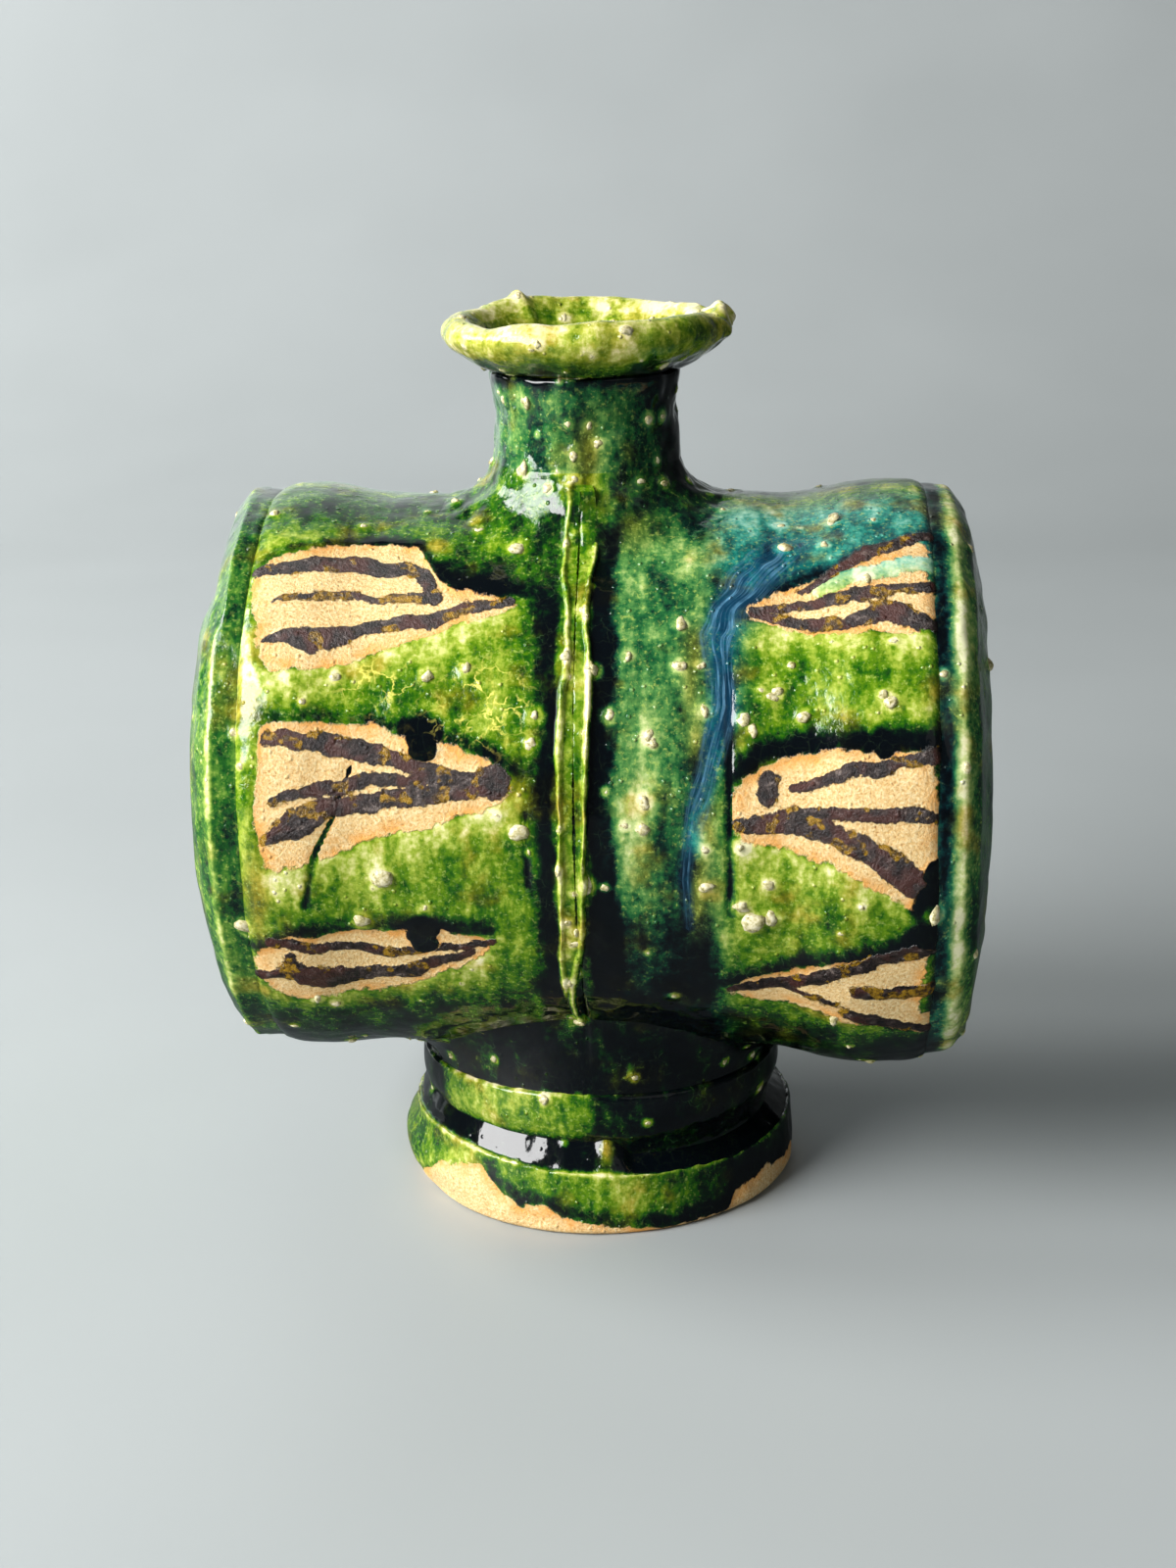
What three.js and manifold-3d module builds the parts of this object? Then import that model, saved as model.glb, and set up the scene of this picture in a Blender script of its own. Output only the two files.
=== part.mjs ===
// Stoneware drum vase: a waisted drum lying on its side, on a stepped foot, with a short flared neck.
// Every piece of clay is a solid of its own, and neighbours stand apart by a film of luting slip.
// Millimetres. +Z is up, the drum lies along X, the front faces -Y, and the foot stands on Z = 0.

import * as THREE from 'three';
import { mergeVertices } from 'three/addons/utils/BufferGeometryUtils.js';
import Module from 'manifold-3d';

const wasm = await Module();
wasm.setup();

// Driving dimensions

const SLIP = 0.3;              // film of luting slip between two pieces

const DRUM_RADIUS = 64.9;      // outside of the drum at its shoulders
const LEFT_HALF = 69.3;        // from the seam to the open end of the left tube
const RIGHT_HALF = 73.7;       // the right tube is a little longer
const DRUM_WALL = 6.5;         // thickness of the tube at the waist
const WAIST_DIP = 3;           // how much thinner the drum is at its waist
const WAIST_FLAT = 40;         // half-width of the level part of the waist
const WAIST_RUN = 18;          // length of the slope from the waist to the shoulder
const SHOULDER_ROUND = 2.8;    // rounding of the tube's open end

const DISC_EDGE = 10.5;        // thickness of an end disc at its rim
const DISC_INSET = 1.7;        // how far its ridge lies inside the tube's shoulder
const DISC_DOME = 1.2;         // rise of its outer face from the bevel to the middle
const DISC_BEVEL = 10;         // width of the bevel round that face
const PLUG_DEPTH = 3;          // how far its plug reaches into the tube

const RIB_WIDTH = 7;           // foot of the seam strip
const RIB_HEIGHT = 2.4;        // rise of its two pinched edges above the waist
const RIB_FLOOR = 1.1;         // thickness of the strip between those edges
const RIB_TAPER = 0.35;        // share of its length that each end takes to taper

const COLLAR_RADIUS = 41.5;    // outside of the upper band of the foot
const COLLAR_HEIGHT = 16.7;
const COLLAR_GROOVE = 2.6;     // depth of the groove under the band
const FOOT_WALL = 7.5;         // from the band's outside to the bore of the foot
const FLANGE_REACH = 3.7;      // how far the flange stands out past the band
const FLANGE_SEAT = 12.8;      // height of the face that the collar stands on
const FLANGE_LIP = 1.9;        // rise of the flange's edge above that seat
const FOOT_CHAMFER = 1;        // bevel round the standing face
const CRADLE = 2.2;            // thinnest part of the cradle coil, under the waist
const CRADLE_REACH = 4;        // how far the coil flares out past the band

const BORE_RADIUS = 14.5;      // passage through neck and drum wall
const NECK_RADIUS = 19.4;      // narrowest part of the neck
const NECK_FLARE = 1.3;        // how much it widens at both ends
const NECK_LENGTH = 18.6;
const NECK_COIL = 8.6;         // rise of the neck coil above the drum
const NECK_REACH = 13.5;       // how far that coil flares out past the neck
const RIM_RADIUS = 31;         // widest part of the rolled lip
const RIM_HEIGHT = 11.6;

const COIL_EDGE = 0.12;        // share of a coil's height left at its thin outer edge
const DRUM_SIDES = 60;         // facets round the drum and its discs
const FOOT_SIDES = 48;
const NECK_SIDES = 40;
const RIB_STEPS = 22;

// Dimensions that follow

const waistRadius = DRUM_RADIUS - WAIST_DIP;
const tubeBore = waistRadius - DRUM_WALL;
const footRadius = COLLAR_RADIUS + FLANGE_REACH;
const footBore = COLLAR_RADIUS - FOOT_WALL;
const neckEnd = NECK_RADIUS + NECK_FLARE;
const cradleEdge = COLLAR_RADIUS + CRADLE_REACH;
const neckCoilEdge = neckEnd + NECK_REACH;

const collarBase = FLANGE_SEAT + SLIP;
const collarTop = collarBase + COLLAR_HEIGHT;
const cradleBase = collarTop + SLIP;
const axisHeight = cradleBase + CRADLE + SLIP + waistRadius;
const neckCoilTop = axisHeight + waistRadius + SLIP + NECK_COIL;
const neckBase = neckCoilTop + SLIP;
const rimBase = neckBase + NECK_LENGTH + SLIP;

// Glaze and clay

const glaze = new THREE.MeshStandardMaterial({ color: 0x4f6b3c, roughness: 0.18, metalness: 0 });
const paleGlaze = new THREE.MeshStandardMaterial({ color: 0x9aa36a, roughness: 0.22, metalness: 0 });
const bareClay = new THREE.MeshStandardMaterial({ color: 0xb08a63, roughness: 0.75, metalness: 0 });

// Shape helpers

/** Outside radius of the drum at a distance from its seam. */
function drumRadius(x) {
  const climb = THREE.MathUtils.smoothstep(Math.abs(x), WAIST_FLAT, WAIST_FLAT + WAIST_RUN);
  return waistRadius + WAIST_DIP * climb;
}

/** Height of the slip film on the drum at a point seen from above, for the top (+1) or the belly (-1). */
function drumSkin(x, y, side) {
  return axisHeight + side * Math.sqrt((drumRadius(x) + SLIP) ** 2 - y ** 2);
}

/** Solid turned about +Z from [radius, height] points that run up the outside and come back inside. */
function turned(profile, sides) {
  const points = profile.map(([radius, height]) => new THREE.Vector2(radius, height));
  if (points[0].x > 0) points.push(points[0].clone());
  return new THREE.LatheGeometry(points, sides).rotateX(Math.PI / 2);
}

/** Points at even steps between two [radius, height] points, without the first. */
function steps(from, to, count) {
  return Array.from({ length: count }, (_, i) => {
    const share = (i + 1) / count;
    return [THREE.MathUtils.lerp(from[0], to[0], share), THREE.MathUtils.lerp(from[1], to[1], share)];
  });
}

/** Smooth curve through [radius, height] points. */
function smooth(points, count) {
  const curve = new THREE.SplineCurve(points.map(([radius, height]) => new THREE.Vector2(radius, height)));
  return curve.getPoints(count).map((point) => [point.x, point.y]);
}

/** A flared coil between a level face and the drum: heights are shares, 0 on the drum and 1 on the face. */
function saddle(bore, faceRadius, edgeRadius, faceHeight, side, sides) {
  const flare = [];
  for (let step = 0; step <= 6; step += 1) {
    const turn = (step / 6) * (Math.PI / 2);
    const radius = faceRadius + (edgeRadius - faceRadius) * (1 - Math.cos(turn));
    flare.push([radius, COIL_EDGE + (1 - COIL_EDGE) * (1 - Math.sin(turn))]);
  }
  const seat = steps([edgeRadius, 0], [bore, 0], 5);
  const outline = [[bore, 1], ...flare, [edgeRadius, 0], ...seat];
  const geometry = turned(side > 0 ? outline.reverse() : outline, sides);
  const position = geometry.getAttribute('position');
  for (let i = 0; i < position.count; i += 1) {
    const skin = drumSkin(position.getX(i), position.getY(i), side);
    position.setZ(i, THREE.MathUtils.lerp(skin, faceHeight, position.getZ(i)));
  }
  return geometry;
}

/** Closed body through rings of points, with a flat cap on the first and the last ring. */
function loft(rings) {
  const size = rings[0].length;
  const index = [];
  for (let ring = 0; ring + 1 < rings.length; ring += 1) {
    for (let side = 0; side < size; side += 1) {
      const a = ring * size + side;
      const b = ring * size + ((side + 1) % size);
      index.push(a, a + size, b, b, a + size, b + size);
    }
  }
  const last = (rings.length - 1) * size;
  for (let side = 1; side + 1 < size; side += 1) {
    index.push(0, side, side + 1, last, last + side + 1, last + side);
  }
  const geometry = new THREE.BufferGeometry().setFromPoints(rings.flat());
  geometry.setIndex(index);
  return geometry;
}

/** A geometry as a solid that can be cut. */
function solidOf(geometry) {
  const bare = geometry.clone();
  bare.deleteAttribute('normal');
  bare.deleteAttribute('uv');
  const merged = mergeVertices(bare, 1e-3);
  const mesh = { numProp: 3, vertProperties: merged.getAttribute('position').array };
  return new wasm.Manifold(new wasm.Mesh({ ...mesh, triVerts: new Uint32Array(merged.index.array) }));
}

/** A cut solid as a geometry. */
function geometryOf(solid) {
  const mesh = solid.getMesh();
  const geometry = new THREE.BufferGeometry();
  geometry.setAttribute('position', new THREE.BufferAttribute(new Float32Array(mesh.vertProperties), 3));
  geometry.setIndex(new THREE.BufferAttribute(new Uint32Array(mesh.triVerts), 1));
  return geometry;
}

/** Lays a body turned about +Z along the drum's axis, towards +X (1) or -X (-1). */
function layAlongDrum(geometry, side) {
  return geometry.rotateY(side * (Math.PI / 2)).translate(0, 0, axisHeight);
}

// Pieces

function footRing() {
  return turned([
    [footBore, 0],
    [footRadius - FOOT_CHAMFER, 0],
    [footRadius, FOOT_CHAMFER],
    [footRadius - FOOT_CHAMFER, FLANGE_SEAT + FLANGE_LIP],
    [COLLAR_RADIUS, FLANGE_SEAT],
    [footBore, FLANGE_SEAT],
  ], FOOT_SIDES);
}

function footCollar() {
  const wall = smooth([
    [COLLAR_RADIUS - 0.6 * COLLAR_GROOVE, collarBase],
    [COLLAR_RADIUS - COLLAR_GROOVE, collarBase + 0.2 * COLLAR_HEIGHT],
    [COLLAR_RADIUS - 0.5 * COLLAR_GROOVE, collarBase + 0.48 * COLLAR_HEIGHT],
    [COLLAR_RADIUS, collarBase + 0.72 * COLLAR_HEIGHT],
    [COLLAR_RADIUS - 0.15 * COLLAR_GROOVE, collarTop],
  ], 8);
  return turned([[footBore, collarBase], ...wall, [footBore, collarTop]], FOOT_SIDES);
}

function footSaddle() {
  return saddle(footBore, COLLAR_RADIUS - 0.5 * COLLAR_GROOVE, cradleEdge, cradleBase, -1, FOOT_SIDES);
}

function drumHalf(length, side) {
  const shoulder = DRUM_RADIUS - SHOULDER_ROUND;
  const outside = [];
  for (let step = 0; step <= 7; step += 1) {
    const x = WAIST_FLAT + (step / 7) * WAIST_RUN;
    outside.push([drumRadius(x), x]);
  }
  const tube = turned([
    [tubeBore, SLIP / 2],
    [waistRadius, SLIP / 2],
    ...outside,
    [DRUM_RADIUS, length - SHOULDER_ROUND],
    [shoulder + 0.7 * SHOULDER_ROUND, length - 0.3 * SHOULDER_ROUND],
    [shoulder, length],
    [tubeBore, length],
  ], DRUM_SIDES);
  const passage = new THREE.CylinderGeometry(BORE_RADIUS, BORE_RADIUS, 2 * waistRadius, NECK_SIDES);
  passage.rotateX(Math.PI / 2).translate(0, 0, axisHeight + waistRadius);
  return geometryOf(solidOf(layAlongDrum(tube, side)).subtract(solidOf(passage)));
}

function endDisc(length, side) {
  const seat = length + SLIP;
  const rim = seat + DISC_EDGE;
  const plug = tubeBore - SLIP;
  const ridge = DRUM_RADIUS - DISC_INSET;
  const slab = turned([
    [0, seat - PLUG_DEPTH],
    [plug, seat - PLUG_DEPTH],
    [plug, seat],
    [DRUM_RADIUS - SHOULDER_ROUND, seat],
    [ridge, seat + 0.38 * DISC_EDGE],
    [ridge - 0.4 * DISC_BEVEL, seat + 0.78 * DISC_EDGE],
    [ridge - DISC_BEVEL, rim],
    [0.5 * (ridge - DISC_BEVEL), rim + 0.75 * DISC_DOME],
    [0, rim + DISC_DOME],
  ], DRUM_SIDES);
  return layAlongDrum(slab, side);
}

function seamRib(face) {
  const top = Math.acos((neckCoilEdge + RIB_HEIGHT) / waistRadius);
  const bottom = -Math.acos((cradleEdge + RIB_HEIGHT) / waistRadius);
  const rings = [];
  for (let step = 0; step <= RIB_STEPS; step += 1) {
    const share = step / RIB_STEPS;
    const angle = THREE.MathUtils.lerp(bottom, top, share);
    const inward = Math.min(share, 1 - share);
    const taper = THREE.MathUtils.smoothstep(inward, -0.1 * RIB_TAPER, RIB_TAPER);
    const open = THREE.MathUtils.smoothstep(inward, 0, RIB_TAPER);
    const half = 0.5 * RIB_WIDTH * (0.3 + 0.7 * taper);
    const rise = RIB_HEIGHT * (0.2 + 0.8 * taper);
    const floor = THREE.MathUtils.lerp(rise, RIB_FLOOR, open);
    const section = [[-half, 0], [half, 0], [0.85 * half, rise], [0.6 * half, rise], [0.4 * half, floor]];
    section.push([-0.4 * half, floor], [-0.6 * half, rise], [-0.85 * half, rise]);
    rings.push(section.map(([x, lift]) => {
      const radius = waistRadius + SLIP + lift;
      return new THREE.Vector3(x, -radius * Math.cos(angle), axisHeight + radius * Math.sin(angle));
    }));
  }
  const strip = loft(rings);
  return face === 'front' ? strip : strip.rotateZ(Math.PI);
}

function neckSaddle() {
  return saddle(BORE_RADIUS, neckEnd, neckCoilEdge, neckCoilTop, 1, NECK_SIDES);
}

function neckTube() {
  const wall = smooth([
    [neckEnd - 0.3 * NECK_FLARE, neckBase],
    [NECK_RADIUS, neckBase + 0.5 * NECK_LENGTH],
    [neckEnd, neckBase + NECK_LENGTH],
  ], 6);
  return turned([[BORE_RADIUS, neckBase], ...wall, [BORE_RADIUS, neckBase + NECK_LENGTH]], NECK_SIDES);
}

function rimCollar() {
  const wall = (foot) => (share, lift) => [
    THREE.MathUtils.lerp(foot, RIM_RADIUS, share),
    rimBase + lift * RIM_HEIGHT,
  ];
  const outside = wall(neckEnd);
  const inside = wall(BORE_RADIUS);
  const roll = smooth([
    outside(0, 0),
    outside(0.2, 0.07),
    outside(0.78, 0.36),
    outside(1, 0.66),
    outside(0.86, 0.92),
    outside(0.6, 1),
    inside(0.6, 0.9),
    inside(0.35, 0.5),
    inside(0, 0),
  ], 16);
  return turned(roll, NECK_SIDES);
}

// Assembly

function piece(name, geometry, material) {
  const mesh = new THREE.Mesh(geometry, material);
  mesh.name = name;
  return mesh;
}

const vase = new THREE.Group();
vase.name = 'drum_vase';
vase.position.x = (LEFT_HALF - RIGHT_HALF) / 2;
vase.add(
  piece('foot_ring', footRing(), bareClay),
  piece('foot_collar', footCollar(), glaze),
  piece('foot_saddle', footSaddle(), glaze),
  piece('drum_left', drumHalf(LEFT_HALF, -1), glaze),
  piece('drum_right', drumHalf(RIGHT_HALF, 1), glaze),
  piece('end_disc_left', endDisc(LEFT_HALF, -1), glaze),
  piece('end_disc_right', endDisc(RIGHT_HALF, 1), glaze),
  piece('seam_rib_front', seamRib('front'), glaze),
  piece('seam_rib_back', seamRib('back'), glaze),
  piece('neck_saddle', neckSaddle(), glaze),
  piece('neck_tube', neckTube(), glaze),
  piece('rim_collar', rimCollar(), paleGlaze),
);

export default vase;
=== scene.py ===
# Looks of the drum vase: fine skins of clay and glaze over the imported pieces.
# Lengths are in millimetres until a mesh is made. Angles on the drum are in degrees above the front.

import itertools
import math

import bmesh
import bpy
import numpy as np
from mathutils import Matrix, Vector


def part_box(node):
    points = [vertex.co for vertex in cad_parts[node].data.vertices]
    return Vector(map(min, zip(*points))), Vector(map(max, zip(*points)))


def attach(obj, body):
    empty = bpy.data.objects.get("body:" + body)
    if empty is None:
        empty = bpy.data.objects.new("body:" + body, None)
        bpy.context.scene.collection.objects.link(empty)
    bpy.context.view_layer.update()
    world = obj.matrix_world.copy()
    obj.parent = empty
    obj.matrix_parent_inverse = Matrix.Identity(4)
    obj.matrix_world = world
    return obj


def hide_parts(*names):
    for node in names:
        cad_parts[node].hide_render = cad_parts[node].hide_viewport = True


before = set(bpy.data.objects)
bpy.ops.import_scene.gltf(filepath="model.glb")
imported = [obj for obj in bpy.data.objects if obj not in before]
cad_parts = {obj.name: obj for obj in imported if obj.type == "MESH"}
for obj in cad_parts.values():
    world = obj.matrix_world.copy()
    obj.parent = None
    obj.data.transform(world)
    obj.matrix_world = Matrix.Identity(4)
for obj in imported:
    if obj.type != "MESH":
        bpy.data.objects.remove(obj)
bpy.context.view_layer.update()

MM = 0.001
SEED = 11
FINE = 0.7
PRIMES = (73856093, 19349663, 83492791)
GOLDEN = 0x9E3779B97F4A7C15


# Places read from the frame

def box_mm(node):
    low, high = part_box(node)
    return np.array(low) / MM, np.array(high) / MM


NECK_LOW, NECK_HIGH = box_mm("neck_tube")
DRUM_LOW, DRUM_HIGH = box_mm("drum_left")
RIGHT_HIGH = box_mm("drum_right")[1]
RIM_LOW, RIM_HIGH = box_mm("rim_collar")
RING_HIGH = box_mm("foot_ring")[1]
COLLAR_LOW, COLLAR_HIGH = box_mm("foot_collar")
CRADLE_LOW, CRADLE_HIGH = box_mm("foot_saddle")
COIL_LOW, COIL_HIGH = box_mm("neck_saddle")

SEAM_X = 0.5 * (NECK_LOW[0] + NECK_HIGH[0])
AXIS_Z = 0.5 * (DRUM_LOW[2] + DRUM_HIGH[2])
SHOULDER = 0.5 * (DRUM_HIGH[2] - DRUM_LOW[2])
LEFT_HALF = SEAM_X - DRUM_LOW[0]
RIGHT_HALF = RIGHT_HIGH[0] - SEAM_X
COLLAR_RADIUS = 0.5 * (COLLAR_HIGH[0] - COLLAR_LOW[0])
COIL_EDGE = 0.5 * (COIL_HIGH[0] - COIL_LOW[0])
CRADLE_EDGE = 0.5 * (CRADLE_HIGH[0] - CRADLE_LOW[0])

# Millimetres along the drum's skin for one degree round it

ARC = math.radians(SHOULDER)


# Small helpers

def ease(value, start, end):
    """0 before start, 1 after end, smooth between them."""
    share = np.clip((value - start) / (end - start), 0, 1)
    return share * share * (3 - 2 * share)


def bump(value, middle, width):
    """A smooth hill of height 1."""
    return np.exp(-((value - middle) / width) ** 2)


def between(value, start, full, fall, end):
    """1 from full to fall, 0 before start and after end, smooth on both sides."""
    return ease(value, start, full) * (1 - ease(value, fall, end))


def noise(points, size, seed):
    """Smooth random values from -1 to 1 that change over a distance of about size."""
    cells = points / size + 7.31 * seed
    base = np.floor(cells).astype(np.int64)
    part = cells - base
    part = part * part * (3 - 2 * part)
    total = np.zeros(len(points))
    for corner in itertools.product((0, 1), repeat=3):
        key = (base + np.array(corner)).astype(np.uint64)
        mixed = np.bitwise_xor.reduce(key * np.array(PRIMES, np.uint64), axis=1)
        mixed = (mixed ^ np.uint64(seed * 7919 + SEED)) * np.uint64(GOLDEN)
        value = (mixed >> np.uint64(40)).astype(float) / 2 ** 23 - 1
        total += value * np.prod(np.where(corner, part, 1 - part), axis=1)
    return total


def near_path(x, angle, path):
    """Distance in mm from points on the drum to a path of (x, angle) points, and the share along it."""
    best = np.full(len(x), 1e3)
    share = np.zeros(len(x))
    path = np.array(path, float)
    for step, (start, end) in enumerate(zip(path[:-1, :2], path[1:, :2])):
        run = (end - start) * (1, ARC)
        away = np.column_stack([x - start[0], (angle - start[1]) * ARC])
        part = np.clip(away @ run / (run @ run), 0, 1)
        gap = np.hypot(*(away - part[:, None] * run).T)
        closer = gap < best
        best = np.where(closer, gap, best)
        share = np.where(closer, step + part, share)
    return best, share


# Meshes

def section(node, axis):
    """Outline of a turned CAD node as (radius, place along its axis) points in order."""
    bm = bmesh.new()
    bm.from_mesh(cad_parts[node].data)
    bmesh.ops.remove_doubles(bm, verts=bm.verts, dist=1e-6)
    centre = Vector((SEAM_X, 0, AXIS_Z)) * MM
    along = Vector((0, 0, 1)) if axis == "Z" else Vector((1, 0, 0))
    outward = Vector((0.02, 1, 0)) if axis == "Z" else Vector((0, 1, -0.02))
    outward.normalize()
    for normal, flat in ((outward, False), (along.cross(outward), True)):
        everything = bm.verts[:] + bm.edges[:] + bm.faces[:]
        bmesh.ops.bisect_plane(bm, geom=everything, plane_co=centre, plane_no=normal,
                               clear_inner=True, clear_outer=flat)
    bm.verts.ensure_lookup_table()
    here = next((v for v in bm.verts if len(v.link_edges) == 1), bm.verts[0])
    path = []
    seen = set()
    while here is not None:
        seen.add(here)
        path.append(((here.co - centre).dot(outward), here.co.dot(along)))
        joined = [edge.other_vert(here) for edge in here.link_edges]
        here = next((v for v in joined if v not in seen), None)
    bm.free()
    return np.array(path) / MM


def resampled(path, step, closed, rounds=3):
    """The path at even steps with its corners softened."""
    loop = np.vstack([path, path[:1]]) if closed else path
    lengths = np.r_[0, np.cumsum(np.hypot(*np.diff(loop, axis=0).T))]
    count = int(lengths[-1] / step)
    at = np.linspace(0, lengths[-1], count, endpoint=not closed)
    even = np.column_stack([np.interp(at, lengths, loop[:, k]) for k in (0, 1)])
    for _ in range(rounds):
        middle = (np.roll(even, 1, 0) + 2 * even + np.roll(even, -1, 0)) / 4
        if not closed:
            middle[[0, -1]] = even[[0, -1]]
        even = middle
    return even


def turned(outline, sides, axis, closed=True):
    """Points and faces of an outline turned about the neck's axis (Z) or the drum's axis (X)."""
    turn = np.linspace(0, 2 * np.pi, sides, endpoint=False)[:, None]
    ring = outline if closed else outline[1:-1]
    radius, along = ring[:, 0][None, :], ring[:, 1][None, :] + 0 * turn
    if axis == "Z":
        points = np.stack([SEAM_X + radius * np.cos(turn), radius * np.sin(turn), along], -1)
    else:
        points = np.stack([along, -radius * np.cos(turn), AXIS_Z + radius * np.sin(turn)], -1)
    points = points.reshape(-1, 3)
    size = len(ring)
    side = np.arange(sides)[:, None]
    place = np.arange(size if closed else size - 1)[None, :]
    after = (side + 1) % sides
    above = (place + 1) % size
    corners = ((side, place), (after, place), (after, above), (side, above))
    faces = np.stack([column * size + row for column, row in corners], -1).reshape(-1, 4).tolist()
    if not closed:
        for end, edge in ((outline[0], 0), (outline[-1], size - 1)):
            tip = len(points)
            points = np.vstack([points, (end[1], 0, AXIS_Z)])
            faces += [(k * size + edge, (k + 1) % sides * size + edge, tip) for k in range(sides)]
    return points, faces


def new_object(name, points, faces):
    mesh = bpy.data.meshes.new(name)
    mesh.from_pydata((points * MM).tolist(), [], faces)
    bm = bmesh.new()
    bm.from_mesh(mesh)
    bmesh.ops.recalc_face_normals(bm, faces=bm.faces)
    bm.to_mesh(mesh)
    bm.free()
    piece = bpy.data.objects.new(name, mesh)
    bpy.context.collection.objects.link(piece)
    return piece


def points_of(piece):
    flat = np.empty(3 * len(piece.data.vertices), np.float32)
    piece.data.vertices.foreach_get("co", flat)
    return flat.reshape(-1, 3).astype(float) / MM


def move(piece, points):
    """Puts the vertices of a piece at these points."""
    piece.data.vertices.foreach_set("co", (points * MM).astype(np.float32).ravel())
    piece.data.update()


def normals_of(piece):
    flat = np.empty(3 * len(piece.data.vertices), np.float32)
    piece.data.vertex_normals.foreach_get("vector", flat)
    return flat.reshape(-1, 3).astype(float)


def push(piece, lift):
    """Moves each vertex out along its normal."""
    move(piece, points_of(piece) + normals_of(piece) * lift[:, None])


def paint(piece, **fields):
    """Stores one number per vertex for each named field, for the material to read."""
    count = len(piece.data.vertices)
    for name, values in fields.items():
        held = piece.data.attributes.new(name, "FLOAT", "POINT")
        held.data.foreach_set("value", np.broadcast_to(values, count).astype(np.float32))


def reach_of(points):
    """Distance from the neck's axis."""
    return np.hypot(points[:, 0] - SEAM_X, points[:, 1])


def drum_reach(points):
    """Distance from the drum's axis."""
    return np.hypot(points[:, 1], points[:, 2] - AXIS_Z)


def azimuth_of(points):
    """Degrees round the neck's axis, from the front to the right."""
    return np.degrees(np.arctan2(points[:, 0] - SEAM_X, -points[:, 1]))


def line_at(azimuth, line):
    """Height at each azimuth of a line of (azimuth, height) points."""
    return np.interp(azimuth, *np.array(line, float).T)


def widen(points, factor):
    """Scales points about the neck's axis, in place."""
    points[:, 0] = SEAM_X + (points[:, 0] - SEAM_X) * factor
    points[:, 1] *= factor


def lumps(points):
    """Uneven surface of hand-worked clay under a running glaze. The standing face stays flat."""
    lift = 0.3 * noise(points, 26, 1) + 0.22 * noise(points, 8, 2) + 0.11 * noise(points, 3, 3)
    return lift * ease(points[:, 2], 0.3, 3)


def settle(points):
    """Slight sag of the drum: its left end sits higher and is smaller, its right end sits lower."""
    x = points[:, 0] - SEAM_X
    rise = 1.25 * ease(-x, 28, 72) - 1.4 * bump(x, 52, 13) - 0.7 * ease(x, 50, 75)
    shrink = 1.2 * ease(-x, 40, 62) + 0.9 * ease(-x, 60, 71) + 0.8 * bump(x, -50, 9)
    shrink += 0.4 * bump(x, 52, 12) + 0.3 * ease(x, 66, 74)
    centre = np.array([0, AXIS_Z])
    points[:, 1:] = centre + (points[:, 1:] - centre) * (1 - shrink / SHOULDER)[:, None]
    points[:, 2] += rise
    return points


# Bores, and the neck's radius at its foot

neck_path = section("neck_tube", "Z")
NECK_BORE = neck_path[:, 0].min()
NECK_BASE = neck_path[neck_path[:, 1] < NECK_LOW[2] + 1, 0].max()
RING_BORE = section("foot_ring", "Z")[:, 0].min()


# The drum's surface

drum_path = np.vstack([section("drum_left", "X"), section("drum_right", "X")])
BORE = drum_path[:, 0].min()
outer = drum_path[drum_path[:, 0] > BORE + 4]
outer = outer[np.argsort(outer[:, 1])]


def drum_radius(x):
    """Outside radius of the drum at a distance from its seam."""
    return np.interp(x + SEAM_X, outer[:, 1], outer[:, 0])


def drum_height(x, y, side):
    """Height of the drum's top (+1) or belly (-1) at a place seen from above."""
    return AXIS_Z + side * np.sqrt(np.maximum(drum_radius(x) ** 2 - y ** 2, 1))


def face_place(points):
    """(x, angle) on the front of the drum. A point at the back is turned round to the front's layout."""
    x = points[:, 0] - SEAM_X
    angle = np.degrees(np.arctan2(points[:, 2] - AXIS_Z, -points[:, 1]))
    back = np.abs(angle) > 90
    stretch = np.where(x < 0, RIGHT_HALF / LEFT_HALF, LEFT_HALF / RIGHT_HALF)
    x_back = -x * stretch + 2.5 * noise(points, 30, 21)
    angle_back = np.sign(angle) * 180 - angle + 3 * noise(points, 34, 22)
    return np.where(back, x_back, x), np.where(back, angle_back, angle)


# Bare windows in the glaze, as (x, upper angle, lower angle) from left to right

WINDOWS = (
    ((-67, 57, 36), (-60, 62, 34), (-42, 66, 38), (-33, 64, 41.5), (-29.5, 57, 43), (-25, 52.5, 44.5),
     (-12, 51.5, 48)),
    ((-64, 25, -4), (-50, 26, 0), (-37, 24, 4), (-18, 19, 8.5), (-11, 15, 12)),
    ((-68, -21, -31), (-60, -17, -34), (-42, -15.5, -33), (-18, -17, -22)),
    ((33, 48, 45.5), (52, 56, 42), (72.5, 65, 41)),
    ((32, 14, 3), (40, 18.5, 1.5), (50, 19.5, -1), (72.5, 20, -11)),
    ((29, -31, -34), (46, -23.5, -36), (73.5, -17.5, -43)),
)

# Strength of the dark bead of glaze above each window, at its left and right end

BEADS = ((0.45, 1.0), (0.25, 0.8), (0.55, 0.85), (0.8, 0.55), (1.0, 1.0), (0.7, 0.9))
CORNER_ROUND = 5

# A depth that is far outside every window and stroke, in mm

OUTSIDE = -50.0

# Iron brush strokes across the windows, as (x, angle, half-width)

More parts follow.
